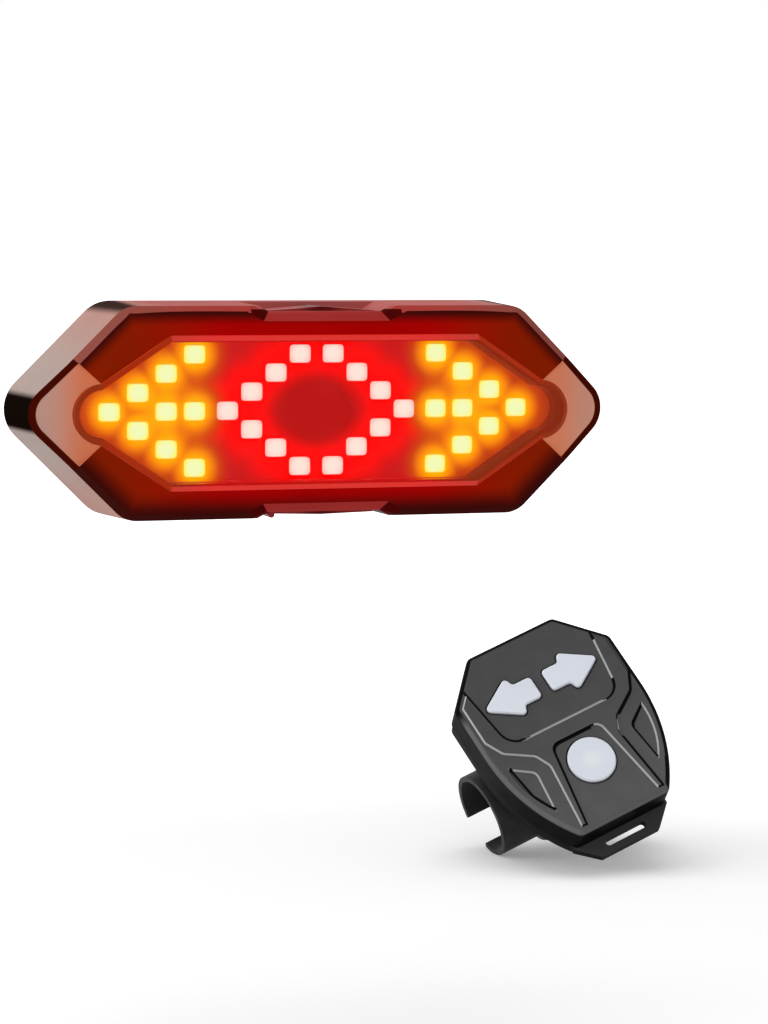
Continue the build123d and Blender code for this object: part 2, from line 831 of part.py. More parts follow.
def cell_clip():
    """Sprung strap under the cell, with a leg each side up to the board."""
    cell_low = -remote_board_bottom - clip_leg_gap - coin_thickness
    span = 2 * (coin_radius + clip_leg_gap + clip_thickness)
    outer = block(span, 2 * clip_half_width, cell_low - clip_thickness, -remote_board_bottom, y=-coin_y)
    inner = block(span - 2 * clip_thickness, 2 * clip_half_width + overrun, cell_low, 0, y=-coin_y)
    return outer - inner


def ear():
    root = -remote_length + ear_root_inset
    tip = -remote_length - ear_reach
    face = mirrored_outline([(ear_root_half_width, root), (ear_root_half_width, -remote_length),
                             (ear_tip_half_width, tip)])
    face = fillet(face.vertices().sort_by(Axis.Y)[:2], ear_corner)
    slot_y = -remote_length - ear_slot_reach
    face -= Pos(0, slot_y) * SlotOverall(ear_slot_length, ear_slot_width)
    return prism(face, -parting_depth - ear_thickness, -parting_depth)


def remote_base():
    base = prism(remote_outline(base_step), -remote_depth, -parting_depth)
    base = chamfer(base.faces().sort_by(Axis.Z)[0].edges(), base_bevel)
    section = saddle_section(shim_radius, shim_radius + rubber_gap, bar_saddle_tip_y,
                             bar_axis_depth - remote_depth + bracket_corner)
    saddle = extrude(section, amount=saddle_length / 2, both=True)
    base += section_frame * (saddle + pegs(shim_radius, bar_peg_along, bar_strap_width)) + ear()
    base -= prism(remote_outline(base_step + remote_wall), -base_inside, overrun)
    base -= remote_seal()
    for x, y in remote_screw_places():
        base += rod(remote_boss_radius, -base_inside - seat_gap, -remote_board_bottom, x, y)
        base -= rod(remote_screw_hole, -remote_depth - overrun, overrun, x, y)
        base -= rod(remote_screw_head + seat_gap, -remote_depth - overrun,
                    -remote_depth + remote_screw_head_height, x, y)
    return base


def remote_seal():
    outside = base_step + remote_seal_width / 2
    ring = remote_outline(outside) - remote_outline(outside + remote_seal_width)
    return prism(ring, -parting_depth - remote_seal_depth, -parting_depth)


def base_screws():
    length = remote_depth - board_top + remote_pilot_depth - seat_gap
    one = screw(remote_screw_shank, remote_screw_head, remote_screw_head_height,
                drive_radius, drive_depth, length)
    return Compound(children=[Pos(x, y, -remote_depth) * one for x, y in remote_screw_places()])


def bar_shim():
    """Rubber sleeve round the handlebar, split underneath so that it opens over the bar."""
    ring = Circle(shim_radius) - Circle(bar_radius)
    across = 2 * shim_radius * sin(radians(shim_half_opening_deg))
    along = 2 * shim_radius * cos(radians(shim_half_opening_deg))
    gap = Polygon((0, 0), (across, along), (-across, along), align=None)
    return section_frame * extrude(ring - gap, amount=shim_length / 2, both=True)


def bar_strap():
    return section_frame * strap(shim_radius + rubber_gap, bar_peg_along, bar_strap_width)


def save(name, shape):
    os.makedirs("parts", exist_ok=True)
    export_step(shape, "parts/" + name + ".step")


lamp_pieces = {
    "front_shell": front_shell(),
    "window_lens": window_lens(),
    "light_mask": light_mask(),
    "amber_lens_caps": lens_caps(arrow_places()),
    "red_lens_caps": lens_caps(diamond_places()),
    "amber_leds": leds(arrow_places()),
    "red_leds": leds(diamond_places()),
    "led_board": led_board(),
    "power_switch": power_switch(),
    "power_button": power_button(),
    "charge_port": charge_port(),
    "port_cover": port_cover(),
    "radio_module": radio_module(),
    "battery_foam": battery_foam(),
    "battery": battery(),
    "rear_cover": rear_cover(),
    "housing_seal": housing_seal(),
    "housing_screws": housing_screws(),
}
bracket_pieces = {
    "seatpost_bracket": seatpost_bracket(),
    "bracket_pad": bracket_pad(),
    "seatpost_strap": seatpost_strap(),
}
left_arrow = mirror(key(arrow_outline, arrow_switch_x, -arrow_y), about=Plane.YZ)
remote_pieces = {
    "remote_top_shell": remote_top_shell(),
    "left_arrow_key": left_arrow,
    "right_arrow_key": key(arrow_outline, arrow_switch_x, -arrow_y),
    "round_key": key(round_outline, 0.0, -round_key_y),
    "remote_board": remote_board(),
    "key_switches": key_switches(),
    "coin_cell": coin_cell(),
    "cell_clip": cell_clip(),
    "remote_base": remote_base(),
    "remote_seal": remote_seal(),
    "base_screws": base_screws(),
    "bar_shim": bar_shim(),
    "bar_strap": bar_strap(),
}
for name, shape in lamp_pieces.items():
    save(name, lamp_frame * shape)
for name, shape in bracket_pieces.items():
    save(name, shape)
for name, shape in remote_pieces.items():
    save(name, remote_frame * shape)
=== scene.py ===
from math import radians

import bmesh
import bpy
from mathutils import Matrix, Vector


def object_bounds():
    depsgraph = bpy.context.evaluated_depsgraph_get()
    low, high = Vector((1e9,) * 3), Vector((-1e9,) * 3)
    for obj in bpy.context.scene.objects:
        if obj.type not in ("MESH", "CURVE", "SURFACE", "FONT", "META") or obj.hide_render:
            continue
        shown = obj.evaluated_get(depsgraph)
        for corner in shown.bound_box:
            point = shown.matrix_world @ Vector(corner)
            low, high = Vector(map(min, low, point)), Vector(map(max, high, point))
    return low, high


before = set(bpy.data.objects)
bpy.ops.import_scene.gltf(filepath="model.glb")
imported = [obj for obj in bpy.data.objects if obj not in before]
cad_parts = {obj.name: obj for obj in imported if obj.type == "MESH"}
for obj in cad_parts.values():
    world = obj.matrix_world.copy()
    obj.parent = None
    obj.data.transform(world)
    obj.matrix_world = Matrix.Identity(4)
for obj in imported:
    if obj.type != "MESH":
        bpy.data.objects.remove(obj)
cad_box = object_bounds()

# Camera. It looks at the lamp from a little to its left and above, from 0.7 m,
# through a long lens, and leans by half a degree, as the photograph does.
camera_yaw = -18.0366
camera_pitch = 5.4893
camera_lean = 0.45
camera_turn = (Matrix.Rotation(radians(camera_yaw), 3, "Z")
               @ Matrix.Rotation(radians(90 - camera_pitch), 3, "X")
               @ Matrix.Rotation(radians(camera_lean), 3, "Z"))
camera = bpy.data.objects.new("camera", bpy.data.cameras.new("camera"))
camera.data.sensor_fit = "HORIZONTAL"
camera.data.sensor_width = 36
camera.data.lens = 149.6
camera.data.clip_start = 0.01
camera.location = (-0.2042, -0.7223, 0.0452)
camera.rotation_euler = camera_turn.to_euler()
bpy.context.scene.collection.objects.link(camera)
bpy.context.scene.camera = camera


# Front shell: one polycarbonate moulding, smoked and polished, with a bevelled
# rim. Its end facets carry a painted glow beside the window and a pale painted
# reflection towards the tips, and its side walls a painted grey-brown sheen
# that ends in painted black reflections at the tips.
half_height = 0.0232
shoulder_x = 0.0449
tip_x = 0.0682
tip_radius = 0.0065
front_y = -0.0543
rim_width = 0.0015
facet_line_width = 0.0013
facet_normal = (0.6743, -0.7385)
facet_reach = 0.0292
facet_fall_x = 0.0506
facet_fall = 0.2159
notch_half_width = 0.0172
notch_floor = 0.0191
notch_top = 0.0225
notch_depth = 0.0022
gable_half_width = 0.01445
gable_slope = 0.76


def add_node(tree, kind, values=None, **settings):
    """A shader node, with each value set on its socket or linked to it."""
    made = tree.nodes.new("ShaderNode" + kind)
    for name, setting in settings.items():
        setattr(made, name, setting)
    for socket, value in (values or {}).items():
        if isinstance(value, bpy.types.NodeSocket):
            tree.links.new(value, made.inputs[socket])
        else:
            made.inputs[socket].default_value = value
    return made


def maths(tree, operation, first, second=0.0):
    return add_node(tree, "Math", {0: first, 1: second}, operation=operation).outputs[0]


def weighted(tree, first, second, weights):
    """Two values, each times its weight, added up."""
    first_share = maths(tree, "MULTIPLY", first, weights[0])
    return maths(tree, "ADD", first_share, maths(tree, "MULTIPLY", second, weights[1]))


def overlap(tree, mask, *others):
    """A mask that is 1 only where all the given ones are."""
    for other in others:
        mask = maths(tree, "MULTIPLY", mask, other)
    return mask


def length(tree, vector):
    return add_node(tree, "VectorMath", {0: vector}, operation="LENGTH").outputs["Value"]


def axes_of(tree, place):
    return add_node(tree, "SeparateXYZ", {0: place}).outputs


def fade(tree, value, start, end):
    """0 where the value is at start, 1 where it is at end."""
    values = {"Value": value, "From Min": start, "From Max": end}
    return add_node(tree, "MapRange", values, interpolation_type="SMOOTHSTEP").outputs["Result"]


def over(tree, value, level, blur=0.0001):
    """A mask that is 1 where the value is over a level, with a soft edge."""
    return fade(tree, value, level - blur, level + blur)


def under(tree, value, level, blur=0.0001):
    """A mask that is 1 where the value is under a level, with a soft edge."""
    return fade(tree, value, level + blur, level - blur)


def mixed(tree, share, first, second):
    return add_node(tree, "Mix", {0: share, 6: first, 7: second}, data_type="RGBA").outputs[2]


def mottled(tree, mottle, share, plain, fleck):
    """A colour broken up by the mottle of the mould's grain."""
    return mixed(tree, maths(tree, "MULTIPLY", mottle, share), plain, fleck)


def colour(red, green, blue):
    return (red, green, blue, 1.0)


def new_group(name, inputs, outputs):
    """A node group, the values given to it and the sockets of what it puts out."""
    group = bpy.data.node_groups.new(name, "ShaderNodeTree")
    for label, kind, value in inputs:
        socket = group.interface.new_socket(label, in_out="INPUT", socket_type=kind)
        if value is not None:
            socket.default_value = value
    for label, kind in outputs:
        group.interface.new_socket(label, in_out="OUTPUT", socket_type=kind)
    return group, group.nodes.new("NodeGroupInput").outputs, group.nodes.new("NodeGroupOutput").inputs


def new_material(name, **sockets):
    """A material, its nodes, its shader and the Object coordinates that its pattern follows."""
    material = bpy.data.materials.new(name)
    material.use_nodes = True
    tree = material.node_tree
    shader = tree.nodes["Principled BSDF"]
    for label, value in sockets.items():
        shader.inputs[label.replace("_", " ")].default_value = value
    place = tree.nodes.new("ShaderNodeTexCoord").outputs["Object"]
    return material, tree, shader.inputs, place


def dress(material, *names):
    """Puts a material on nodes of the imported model."""
    for name in names:
        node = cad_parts[name]
        if not node.material_slots:
            node.data.materials.append(material)
        for slot in node.material_slots:
            slot.material = material


grain, given, put_out = new_group(
    "moulded_grain",
    [("Place", "NodeSocketVector", None), ("Fineness", "NodeSocketFloat", 2000.0)],
    [("Mottle", "NodeSocketFloat"), ("Height", "NodeSocketFloat")])
fine = add_node(grain, "TexNoise", {"Vector": given["Place"], "Scale": given["Fineness"], "Detail": 3.0})
broad_scale = maths(grain, "MULTIPLY", given["Fineness"], 0.06)
broad = add_node(grain, "TexNoise", {"Vector": given["Place"], "Scale": broad_scale, "Detail": 2.0})
grain.links.new(fade(grain, broad.outputs["Fac"], 0.3, 0.7), put_out["Mottle"])
grain.links.new(fine.outputs["Fac"], put_out["Height"])


def grained(tree, shader, place, fineness, depth, roughness, spread):
    """Gives a surface the grain of its mould, in its relief and its gloss, and returns the mottle."""
    skin = add_node(tree, "Group", node_tree=grain)
    tree.links.new(place, skin.inputs["Place"])
    skin.inputs["Fineness"].default_value = fineness
    bump = add_node(tree, "Bump", {"Height": skin.outputs["Height"], "Distance": depth, "Strength": 0.5})
    tree.links.new(bump.outputs["Normal"], shader["Normal"])
    gloss = add_node(tree, "MapRange", {"Value": skin.outputs["Mottle"], "To Min": roughness - spread,
                                        "To Max": roughness + spread})
    tree.links.new(gloss.outputs["Result"], shader["Roughness"])
    return skin.outputs["Mottle"]


def inside_outline(tree, across, up):
    """How far a point of the lamp's face lies inside its outline, with the rounded tip."""
    edge_across, edge_up = Vector((half_height, tip_x - shoulder_x)).normalized()
    bend_x = tip_x - tip_radius / edge_across
    past_edge = weighted(tree, across, up, (edge_across, edge_up))
    past_edge = maths(tree, "SUBTRACT", past_edge, bend_x * edge_across)
    past_bend = weighted(tree, across, up, (edge_up, -edge_across))
    past_bend = maths(tree, "SUBTRACT", past_bend, bend_x * edge_up)
    reach = add_node(tree, "CombineXYZ", {0: maths(tree, "MAXIMUM", past_edge, 0.0),
                                          1: maths(tree, "MAXIMUM", past_bend, 0.0)}).outputs[0]
    inside_tip = maths(tree, "SUBTRACT", tip_radius, length(tree, reach))
    return maths(tree, "MINIMUM", maths(tree, "SUBTRACT", half_height, up), inside_tip)


smoked_shell, tree, shader, place = new_material("smoked_shell", Specular_IOR_Level=0.0, Coat_Roughness=0.1)
axes = axes_of(tree, place)
across = maths(tree, "ABSOLUTE", axes[0])
up = maths(tree, "ABSOLUTE", axes[2])
to_front = maths(tree, "SUBTRACT", axes[1], front_y)
off_face = fade(tree, to_front, 0.00001, 0.00005)
on_right = over(tree, axes[0], 0.0, 0.001)
on_top = over(tree, axes[2], 0.0, 0.002)
from_edge = inside_outline(tree, across, up)

# The margins, with a painted red glow from the window, browner at the ends, that darkens towards the rim, and
# the bevel round them, painted as light and shade: pale red on top, dark along the bottom.
near_end = fade(tree, across, 0.020, 0.050)
margin = mixed(tree, near_end, colour(0.44, 0.001, 0.001), colour(0.27, 0.014, 0.001))
margin_width = maths(tree, "SUBTRACT", 0.0068, maths(tree, "MULTIPLY", on_top, 0.0022))
margin = mixed(tree, fade(tree, from_edge, 0.0012, margin_width), colour(0.050, 0.004, 0.003), margin)
rim_light_and_shade = mixed(tree, near_end, colour(0.40, 0.048, 0.040), colour(0.28, 0.075, 0.058))
rim_light_and_shade = mixed(tree, on_top, colour(0.045, 0.006, 0.005), rim_light_and_shade)
on_rim = overlap(tree, under(tree, from_edge, rim_width, 0.00005), off_face)
face = mixed(tree, on_rim, margin, rim_light_and_shade)

# The end facets: a painted warm glow beside the window, a pale painted reflection at the tips and extra
# painted light on the right-hand facet, with a dark line round them.
past_line = weighted(tree, across, up, facet_normal)
in_facet = over(tree, past_line, facet_reach, 0.00005)
near_tip = fade(tree, across, 0.053, 0.063)
facet_tone = mixed(tree, near_tip, colour(0.68, 0.19, 0.09), colour(0.52, 0.29, 0.235))
facet_tone = mixed(tree, maths(tree, "MULTIPLY", on_right, 0.3), facet_tone, colour(1.0, 0.36, 0.20))
on_line = under(tree, from_edge, facet_line_width)
facet_tone = mixed(tree, on_line, facet_tone, colour(0.06, 0.004, 0.001))
face = mixed(tree, in_facet, face, facet_tone)

# The side walls, painted with reflections and glow: red in the middle, grey-brown
# towards the ends, and black painted reflections at the tips and the upper
# shoulders, with painted shade on the middle of the bottom wall by its notch.
# They start where the rim or the facet ends.
facet_level = maths(tree, "MAXIMUM", maths(tree, "SUBTRACT", across, facet_fall_x), 0.0)
facet_level = maths(tree, "MULTIPLY", facet_level, facet_fall)
wall_start = maths(tree, "MAXIMUM", maths(tree, "MULTIPLY", in_facet, facet_level), rim_width)
on_wall = fade(tree, maths(tree, "SUBTRACT", to_front, wall_start), 0.00005, 0.0002)
end_tone = mixed(tree, fade(tree, across, 0.046, 0.062), colour(0.45, 0.24, 0.20), colour(0.385, 0.30, 0.27))
painted_wall_tone = mixed(tree, fade(tree, across, 0.034, 0.048), colour(0.46, 0.11, 0.10), end_tone)
at_tip = fade(tree, up, 0.0048, 0.0032)
at_shoulder = overlap(tree, fade(tree, up, 0.0210, 0.0228), fade(tree, across, 0.0405, 0.0440), on_top)
dark_reflections = maths(tree, "MAXIMUM", at_tip, maths(tree, "MULTIPLY", at_shoulder, 0.92))
painted_wall_tone = mixed(tree, dark_reflections, painted_wall_tone, colour(0.006, 0.003, 0.002))
in_bottom_notch = overlap(tree, maths(tree, "SUBTRACT", 1.0, on_top), fade(tree, across, 0.0190, 0.0180))
painted_wall_tone = mixed(tree, in_bottom_notch, painted_wall_tone, colour(0.10, 0.006, 0.005))
face = mixed(tree, on_wall, face, painted_wall_tone)

# The notches, in painted light and shade: a pale lit middle that narrows towards the back, between two shaded
# dark ends.
in_notch = overlap(tree, off_face, fade(tree, to_front, notch_depth + 0.00005, notch_depth),
                   under(tree, across, notch_half_width),
                   over(tree, up, notch_floor), under(tree, up, notch_top))
gable_end = maths(tree, "SUBTRACT", gable_half_width, maths(tree, "MULTIPLY", to_front, gable_slope))
on_gable = over(tree, maths(tree, "SUBTRACT", gable_end, across), 0.0)
notch_tone = mixed(tree, on_gable, colour(0.07, 0.002, 0.002), colour(0.36, 0.030, 0.027))
face = mixed(tree, in_notch, face, notch_tone)

mottle = grained(tree, shader, place, 900.0, 0.00001, 0.14, 0.03)
tree.links.new(mottled(tree, mottle, 0.08, face, colour(0.0, 0.0, 0.0)), shader["Base Color"])
# The walls get a thin coat, but none where the black reflections are painted.
polished = overlap(tree, on_wall, maths(tree, "SUBTRACT", 1.0, dark_reflections))
tree.links.new(maths(tree, "MULTIPLY", polished, 0.08), shader["Coat Weight"])
dress(smoked_shell, "front_shell")


# Window lens: clear polycarbonate, polished on both sides, let into the front
# shell and standing a little proud of it. Its bevelled edges are tinted darker
# and carry a painted glow, red along the middle and amber at the ends.
window_face_y = -0.0551
strip_half_length = 0.0351

clear_window, tree, shader, place = new_material("clear_window", IOR=1.08, Transmission_Weight=1.0,
                                                Emission_Strength=1.0)
axes = axes_of(tree, place)
across = maths(tree, "ABSOLUTE", axes[0])
on_bevel = overlap(tree, fade(tree, axes[1], window_face_y - 0.00005, window_face_y),
                   fade(tree, axes[1], front_y + 0.0003, front_y + 0.0002))
in_strip = under(tree, across, strip_half_length)
on_bend = fade(tree, across, 0.0490, 0.0515)
tint = mixed(tree, on_bevel, colour(1.0, 0.97, 0.97), colour(0.35, 0.22, 0.16))
tint = mixed(tree, overlap(tree, on_bevel, in_strip), tint, colour(0.30, 0.20, 0.20))
tree.links.new(tint, shader["Base Color"])
# The painted glow on the bevels, given as emission.
painted_edge_glow = mixed(tree, on_bend, colour(0.24, 0.014, 0.002), colour(0.14, 0.018, 0.004))
painted_edge_glow = mixed(tree, in_strip, painted_edge_glow, colour(0.44, 0.032, 0.026))
painted_edge_glow = mixed(tree, on_bevel, colour(0.0, 0.0, 0.0), painted_edge_glow)
tree.links.new(painted_edge_glow, shader["Emission Color"])
grained(tree, shader, place, 300.0, 0.000004, 0.03, 0.01)
dress(clear_window, "window_lens")


# Light mask: the moulded light guide behind the window, its glow painted on as
# emission: red light round the diamond, amber light round the arrows, and its
# middle, with the hexagonal recess, darker.
cell_rise = 0.00415
arrow_step = 0.00638
arrow_tip_x = 0.0470
diamond_step = 0.00553
diamond_tip_x = 0.0204
tray_floor_y = -0.0465


def vectors(tree, operation, first, second):
    """The sum, difference or product of two vectors."""
    return add_node(tree, "VectorMath", {0: first, 1: second}, operation=operation).outputs[0]


def dot(tree, first, second):
    return add_node(tree, "VectorMath", {0: first, 1: second}, operation="DOT_PRODUCT").outputs["Value"]


def folded(tree, place):
    """The place with its coordinates made positive, as mirrored halves match."""
    return add_node(tree, "VectorMath", {0: place}, operation="ABSOLUTE").outputs[0]


def distance_from_steps(tree, offset, step, last, whole):
    """How far an offset is from the nearest place on a run of steps: a whole step, or any part of one."""
    count = maths(tree, "DIVIDE", dot(tree, offset, step), dot(tree, step, step))
    if whole:
        count = maths(tree, "ROUND", count)
    count = maths(tree, "MINIMUM", maths(tree, "MAXIMUM", count, 0.0), last)
    passed = add_node(tree, "VectorMath", {0: step, "Scale": count}, operation="SCALE").outputs[0]
    return length(tree, vectors(tree, "SUBTRACT", offset, passed))


cell_rows, given, put_out = new_group(
    "distance_to_cells",
    [("Place", "NodeSocketVector", None), ("First", "NodeSocketVector", None),
     ("Step", "NodeSocketVector", None), ("Last", "NodeSocketFloat", 3.0)],
    [("Distance", "NodeSocketFloat")])
offset = vectors(cell_rows, "SUBTRACT", given["Place"], given["First"])
distance = distance_from_steps(cell_rows, offset, given["Step"], given["Last"], True)
cell_rows.links.new(distance, put_out["Distance"])


def distance_to_cells(tree, place, first_x, step, last):
    """How far a point is from the nearest cell of a row and its mirrored rows."""
    row = add_node(tree, "Group", node_tree=cell_rows)
    tree.links.new(vectors(tree, "MULTIPLY", folded(tree, place), (1, 0, 1)), row.inputs["Place"])
    row.inputs["First"].default_value = (first_x, 0, 0)
    row.inputs["Step"].default_value = step
    row.inputs["Last"].default_value = last
    return row.outputs["Distance"]


def distance_to_arrow(tree, place):
    """How far a point is from the arrows' cells, with head and shaft run together."""
    head = distance_to_cells(tree, place, arrow_tip_x, (-arrow_step, 0, cell_rise), 3)
    shaft = distance_to_cells(tree, place, arrow_tip_x - 2 * arrow_step, (-arrow_step, 0, 0), 1)
    return add_node(tree, "Math", {0: head, 1: shaft, 2: 0.006}, operation="SMOOTH_MIN").outputs[0]


def distance_to_diamond(tree, place):
    return distance_to_cells(tree, place, diamond_tip_x, (-diamond_step, 0, cell_rise), 3)


signal_panel, tree, shader, place = new_material("signal_panel", Emission_Strength=1.0,
                                                Specular_IOR_Level=0.03)
shader["Base Color"].default_value = colour(0.02, 0.0, 0.0)
axes = axes_of(tree, place)
near_arrow = fade(tree, maths(tree, "ABSOLUTE", axes[0]), 0.024, 0.036)
dim = mixed(tree, near_arrow, colour(0.58, 0.006, 0.006), colour(0.40, 0.035, 0.006))
field = mixed(tree, fade(tree, distance_to_diamond(tree, place), 0.004, 0.010), colour(1.0, 0.0, 0.0), dim)
from_centre = length(tree, vectors(tree, "MULTIPLY", place, (0.86, 0, 1.15)))
field = mixed(tree, fade(tree, from_centre, 0.0112, 0.0064), field, colour(0.46, 0.002, 0.002))
to_arrow = distance_to_arrow(tree, place)
field = mixed(tree, fade(tree, to_arrow, 0.0085, 0.0042), field, colour(0.62, 0.065, 0.002))
amber = mixed(tree, fade(tree, to_arrow, 0.0025, 0.0042), colour(1.0, 0.42, 0.0), colour(1.0, 0.26, 0.0))
glow = mixed(tree, fade(tree, to_arrow, 0.0060, 0.0032), field, amber)
# The walls of its tray carry a painted glow too, red in the middle and brown towards the arrows.
wall_glow = mixed(tree, near_arrow, colour(0.50, 0.006, 0.005), colour(0.22, 0.022, 0.006))
glow = mixed(tree, fade(tree, axes[1], tray_floor_y, tray_floor_y - 0.0003), glow, wall_glow)
mottle = grained(tree, shader, place, 500.0, 0.00002, 0.3, 0.05)
tree.links.new(mottled(tree, mottle, 0.06, glow, colour(0.4, 0.0, 0.0)), shader["Emission Color"])
dress(signal_panel, "light_mask")


# Lens caps: small diffusing squares, one over each lamp, lit from behind.
# The amber ones look pale yellow and the red ones pale pink, palest in the
# middle where the chip sits.
for name, node, distance_to, middle, edge in (
        ("amber_cap", "amber_lens_caps", distance_to_arrow,
         colour(0.88, 0.97, 0.50), colour(1.0, 0.90, 0.10)),
        ("red_cap", "red_lens_caps", distance_to_diamond,
         colour(0.97, 0.78, 0.70), colour(1.0, 0.50, 0.44))):
    cap, tree, shader, place = new_material(name, Emission_Strength=1.0, Specular_IOR_Level=0.03)
    shader["Base Color"].default_value = colour(0.02, 0.01, 0.0)
    lit = mixed(tree, fade(tree, distance_to(tree, place), 0.0011, 0.0029), middle, edge)
    tree.links.new(lit, shader["Emission Color"])
    grained(tree, shader, place, 1500.0, 0.00001, 0.35, 0.05)
    dress(cap, node)


# Power button and charge port cover: dark red-brown silicone, let into the
# notches at the top and bottom of the front shell, darkest in the middle.
lamp_rubber, tree, shader, place = new_material("lamp_rubber", Specular_IOR_Level=0.08)
across = maths(tree, "ABSOLUTE", axes_of(tree, place)[0])
from_middle = fade(tree, across, 0.001, 0.006)
silicone = mixed(tree, from_middle, colour(0.13, 0.002, 0.002), colour(0.32, 0.030, 0.026))
mottle = grained(tree, shader, place, 2500.0, 0.00002, 0.42, 0.05)
tree.links.new(mottled(tree, mottle, 0.15, silicone, colour(0.02, 0.0, 0.0)), shader["Base Color"])
dress(lamp_rubber, "power_button", "port_cover")


# LEDs, boards and switches: what is soldered together behind the mask and
# under the keys. White resin packages on green boards, and black switches.
def moulded(name, light, dark, roughness, fineness, depth, **sockets):
    """A material whose colour, gloss and relief follow the grain of its mould."""
    material, tree, shader, place = new_material(name, **sockets)
    mottle = grained(tree, shader, place, fineness, depth, roughness, 0.06)
    tree.links.new(mixed(tree, mottle, light, dark), shader["Base Color"])
    return material


led_package = moulded("led_package", colour(0.80, 0.78, 0.70), colour(0.66, 0.63, 0.54),
                      0.35, 1500.0, 0.00001)
dress(led_package, "amber_leds", "red_leds")

circuit_board, tree, shader, place = new_material("circuit_board")
tracks = add_node(tree, "TexBrick", {"Vector": place, "Scale": 260.0, "Mortar Size": 0.06,
                                     "Color1": colour(0.02, 0.16, 0.06), "Color2": colour(0.03, 0.20, 0.08),
                                     "Mortar": colour(0.10, 0.34, 0.14)}).outputs["Color"]
mottle = grained(tree, shader, place, 1800.0, 0.00002, 0.32, 0.06)
tree.links.new(mottled(tree, mottle, 0.2, tracks, colour(0.01, 0.08, 0.03)), shader["Base Color"])
dress(circuit_board, "led_board", "remote_board")

switch_plastic = moulded("switch_plastic", colour(0.04, 0.04, 0.045), colour(0.02, 0.02, 0.022),
                         0.4, 2500.0, 0.00002)
dress(switch_plastic, "power_switch", "key_switches")


# Charge port, radio module, coin cell and its clip: pressed and plated steel,
# with fine drawn lines and a little dulling.
plated_steel, tree, shader, place = new_material("plated_steel", Metallic=1.0)
drawn = add_node(tree, "Mapping", {"Vector": place, "Scale": (60.0, 900.0, 60.0)}).outputs[0]
lines = add_node(tree, "TexNoise", {"Vector": drawn, "Scale": 8.0, "Detail": 4.0}).outputs["Fac"]
steel = mixed(tree, lines, colour(0.80, 0.79, 0.76), colour(0.58, 0.57, 0.55))
tree.links.new(steel, shader["Base Color"])
grained(tree, shader, place, 1500.0, 0.00001, 0.28, 0.08)
dress(plated_steel, "charge_port", "radio_module", "coin_cell", "cell_clip")


# Battery and its foam: a pouch cell in soft aluminium foil, creased where it
# is sealed, on a strip of grey closed-cell foam.
battery_foil, tree, shader, place = new_material("battery_foil", Metallic=0.8)
mottle = grained(tree, shader, place, 700.0, 0.00003, 0.35, 0.06)
creases = add_node(tree, "TexVoronoi", {"Vector": place, "Scale": 140.0}, feature="SMOOTH_F1")
bump = add_node(tree, "Bump", {"Height": creases.outputs["Distance"], "Distance": 0.0003, "Strength": 0.4})
tree.links.new(bump.outputs["Normal"], shader["Normal"])
tree.links.new(mixed(tree, mottle, colour(0.72, 0.73, 0.75), colour(0.60, 0.61, 0.63)), shader["Base Color"])
dress(battery_foil, "battery")

foam = moulded("foam", colour(0.14, 0.14, 0.14), colour(0.09, 0.09, 0.09), 0.9, 1600.0, 0.0002)
dress(foam, "battery_foam")


# Rear cover and bracket: black moulded plastic with a fine matte grain. Screws
# hold the cover to the front shell, and its socket slides on the bracket's rail.
black_plastic = moulded("black_plastic", colour(0.020, 0.020, 0.021), colour(0.012, 0.012, 0.013),
                        0.42, 3000.0, 0.00004, Specular_IOR_Level=0.4)
dress(black_plastic, "rear_cover", "seatpost_bracket")


# Seals, pad and shim: moulded rubber, matte and a shade lighter than the
# plastic round it, pressed between the parts that it sits against.
seal_rubber = moulded("seal_rubber", colour(0.022, 0.022, 0.023), colour(0.014, 0.014, 0.015),
                      0.62, 2600.0, 0.00005, Specular_IOR_Level=0.3)
dress(seal_rubber, "housing_seal", "bracket_pad", "remote_seal", "bar_shim")


# Straps: satin silicone bands, moulded flat with a slot at each end, and
# stretched over the pegs of the bracket and of the remote's base.
strap_silicone = moulded("strap_silicone", colour(0.026, 0.026, 0.028), colour(0.017, 0.017, 0.018),
                         0.5, 2200.0, 0.00003, Specular_IOR_Level=0.35)
dress(strap_silicone, "seatpost_strap", "bar_strap")


# Screws: small zinc-plated steel screws with a pan head. They go through the
# rear cover into the front shell, and through the base into the top shell.
screw_steel = moulded("screw_steel", colour(0.55, 0.55, 0.56), colour(0.40, 0.40, 0.42),
                      0.3, 1800.0, 0.00002, Metallic=1.0)
dress(screw_steel, "housing_screws", "base_screws")


# Remote's shells: charcoal plastic with a fine satin texture, with painted
# highlights on the slopes that face the light and painted shade on those that
# turn away from it. The face is a shade lighter than the side walls, which are
# painted dark as shade where the light grazes them.
remote_place = Vector((0.1176, 0.1462, -0.0802))
remote_turn = (Matrix.Rotation(radians(54.0), 3, "X") @ Matrix.Rotation(radians(-9.4), 3, "Y")
               @ Matrix.Rotation(radians(20.5), 3, "Z"))
arrow_key_y = -0.0175
round_key_y = -0.0449
round_key_radius = 0.00705
key_corner = 0.0012
slope_flatness = 0.555
parting_z = -0.0096


def on_remote_axes(tree, place):
    """The place on the remote: x across it, y to its top edge, z out of its face."""
    turned = {"Vector": place, "Location": remote_place, "Rotation": remote_turn.to_euler()}
    return add_node(tree, "Mapping", turned, vector_type="TEXTURE").outputs[0]


def facing_share(tree, direction):
    """How far the surface faces a direction of the remote, from -1 to 1."""
    facing = tree.nodes.new("ShaderNodeTexCoord").outputs["Normal"]
    return dot(tree, facing, remote_turn @ Vector(direction))


def from_round_key(tree, on_remote):
    """How far a point is from the middle of the round key."""
    offset = vectors(tree, "SUBTRACT", on_remote, (0, round_key_y, 0))
    return length(tree, vectors(tree, "MULTIPLY", offset, (1, 1, 0)))


